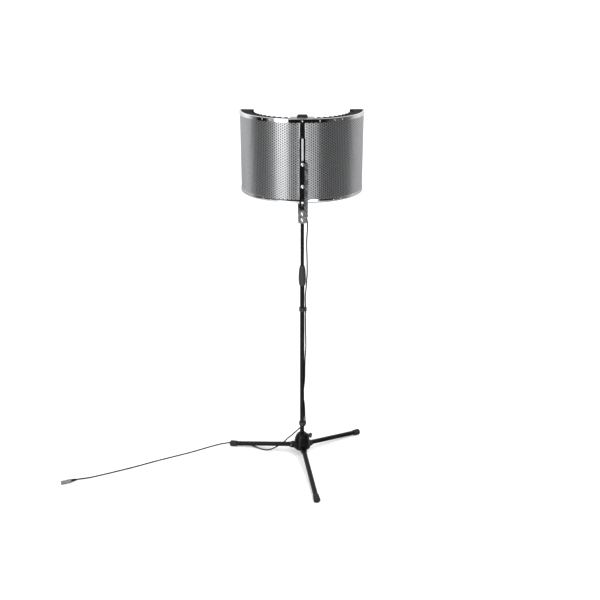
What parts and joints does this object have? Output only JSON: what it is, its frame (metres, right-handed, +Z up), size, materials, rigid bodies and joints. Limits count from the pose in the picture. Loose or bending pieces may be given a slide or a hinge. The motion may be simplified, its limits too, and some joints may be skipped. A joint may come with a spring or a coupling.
{
  "type": "microphone isolation shield",
  "caption": "Curved, foam-lined perforated metal screen on a slotted bracket and folding tripod stand, with an arm for a microphone behind it and a cable to the floor.",
  "frame": {"origin": "on the floor, under the middle of the footprint of the stand and the screen", "axes": "+Z up along the pole; the closed, perforated back of the screen faces -Y and its open side, where the singer stands, faces +Y"},
  "size_m": [1.4169, 0.655, 1.6513],
  "materials": {
    "black_powder_coat": "satin",
    "black_nylon": "matte",
    "black_rubber": "matte",
    "chrome_plate": "polished",
    "brushed_aluminium": "satin",
    "satin_nickel": "satin",
    "zinc_plated_steel": "satin",
    "acoustic_foam": "matte",
    "grey_felt": "matte"
  },
  "bodies": {
    "bracket": {"bar_stiffener": "satin_nickel", "clamp_body": "satin_nickel", "mic_arm": "black_powder_coat", "mic_cable_head": "black_rubber", "slotted_bar": "black_powder_coat", "socket_boot": "black_rubber", "socket_clip": "black_nylon", "socket_insert": "black_nylon", "socket_shell": "zinc_plated_steel"},
    "stand": {"base_hub": "black_powder_coat", "cable_clip_lower": "black_nylon", "cable_clip_upper": "black_nylon", "clutch_collet": "black_nylon", "clutch_sleeve": "black_nylon", "leg_pin_front": "zinc_plated_steel", "leg_pin_left": "zinc_plated_steel", "leg_pin_right": "zinc_plated_steel", "lower_tube": "black_powder_coat", "mic_cable_lower": "black_rubber", "plug_boot": "black_rubber", "plug_pins": "zinc_plated_steel", "plug_shell": "zinc_plated_steel", "tube_end_plug": "black_nylon"},
    "shield": {"bottom_rim": "chrome_plate", "centre_strip": "black_powder_coat", "end_rail_left": "chrome_plate", "end_rail_right": "chrome_plate", "felt_layer": "grey_felt", "foam_absorber": "acoustic_foam", "inner_liner": "brushed_aluminium", "nut_plate": "zinc_plated_steel", "perforated_shell": "brushed_aluminium", "seam_plate": "brushed_aluminium", "top_hook": "black_nylon", "top_plate": "satin_nickel", "top_rim": "chrome_plate", "top_rim_screw": "chrome_plate"},
    "clamp_screw_lower": {"clamp_screw_lower": "chrome_plate"},
    "clamp_screw_upper": {"clamp_screw_upper": "chrome_plate"},
    "clutch_grip": {"clutch_grip": "black_nylon"},
    "leg_front": {"foot_cap_front": "black_rubber", "leg_knuckle_front": "black_powder_coat", "leg_tube_front": "black_powder_coat"},
    "leg_left": {"foot_cap_left": "black_rubber", "leg_knuckle_left": "black_powder_coat", "leg_tube_left": "black_powder_coat"},
    "leg_right": {"foot_cap_right": "black_rubber", "leg_knuckle_right": "black_powder_coat", "leg_tube_right": "black_powder_coat"},
    "height_bolt_lower": {"height_bolt_lower": "chrome_plate"},
    "height_bolt_upper": {"height_bolt_upper": "chrome_plate"},
    "rod": {"mic_cable_upper": "black_rubber", "rod_guide_bush": "black_nylon", "upper_rod": "black_powder_coat"},
    "mic_stud": {"mic_stud": "satin_nickel", "stud_nut": "satin_nickel"},
    "socket_latch": {"socket_latch": "zinc_plated_steel"},
    "wing_screw": {"wing_knob": "black_nylon", "wing_stud": "zinc_plated_steel"}
  },
  "joints": [
    {"name": "leg_left_fold", "type": "hinge", "parent": "stand", "child": "leg_left", "pos_m": [-0.01864, 0.06566, 0.07308], "axis": [0.3453, 0.9385, 0], "range_deg": [0, 100]},
    {"name": "leg_right_fold", "type": "hinge", "parent": "stand", "child": "leg_right", "pos_m": [0.07011, 0.08099, 0.07308], "axis": [0.6401, -0.7683, 0], "range_deg": [0, 100]},
    {"name": "leg_front_fold", "type": "hinge", "parent": "stand", "child": "leg_front", "pos_m": [0.03901, -0.00354, 0.07308], "axis": [-0.9854, -0.1702, 0], "range_deg": [0, 100]},
    {"name": "clutch_grip_turn", "type": "hinge", "parent": "stand", "child": "clutch_grip", "pos_m": [0.03016, 0.0477, 0.897], "axis": [0, 0, 1], "range_deg": [0, 180]},
    {"name": "wing_screw_turn", "type": "hinge", "parent": "stand", "child": "wing_screw", "pos_m": [0.03016, 0.0477, 0.139], "axis": [0.9397, -0.342, 0], "range_deg": [-360, 0]},
    {"name": "rod_slide", "type": "slide", "parent": "stand", "child": "rod", "axis": [0, 0, 1], "range_m": [-0.19, 0.42], "deforming": ["mic_cable_upper"]},
    {"name": "bracket_turn", "type": "hinge", "parent": "rod", "child": "bracket", "pos_m": [0.03016, 0.0477, 1.192], "axis": [0, 0, 1], "range_deg": [-90, 90]},
    {"name": "clamp_screw_upper_turn", "type": "hinge", "parent": "bracket", "child": "clamp_screw_upper", "pos_m": [0.03016, 0.0223, 1.235], "axis": [0, -1, 0], "range_deg": [0, 360]},
    {"name": "clamp_screw_lower_turn", "type": "hinge", "parent": "bracket", "child": "clamp_screw_lower", "pos_m": [0.03016, 0.0223, 1.208], "axis": [0, -1, 0], "range_deg": [0, 360]},
    {"name": "shield_slide", "type": "slide", "parent": "bracket", "child": "shield", "axis": [0, 0, 1], "range_m": [0, 0.105]},
    {"name": "height_bolt_upper_turn", "type": "hinge", "parent": "shield", "child": "height_bolt_upper", "pos_m": [0.03016, 0.017, 1.451], "axis": [0, -1, 0], "range_deg": [0, 360]},
    {"name": "height_bolt_lower_turn", "type": "hinge", "parent": "shield", "child": "height_bolt_lower", "pos_m": [0.03016, 0.017, 1.356], "axis": [0, -1, 0], "range_deg": [0, 360]},
    {"name": "mic_stud_slide", "type": "slide", "parent": "bracket", "child": "mic_stud", "axis": [0, 1, 0], "range_m": [-0.0175, 0.0175]},
    {"name": "socket_latch_press", "type": "slide", "parent": "bracket", "child": "socket_latch", "axis": [0, 0, -1], "range_m": [0, 0.001], "stiffness_N_per_m": 300}
  ]
}
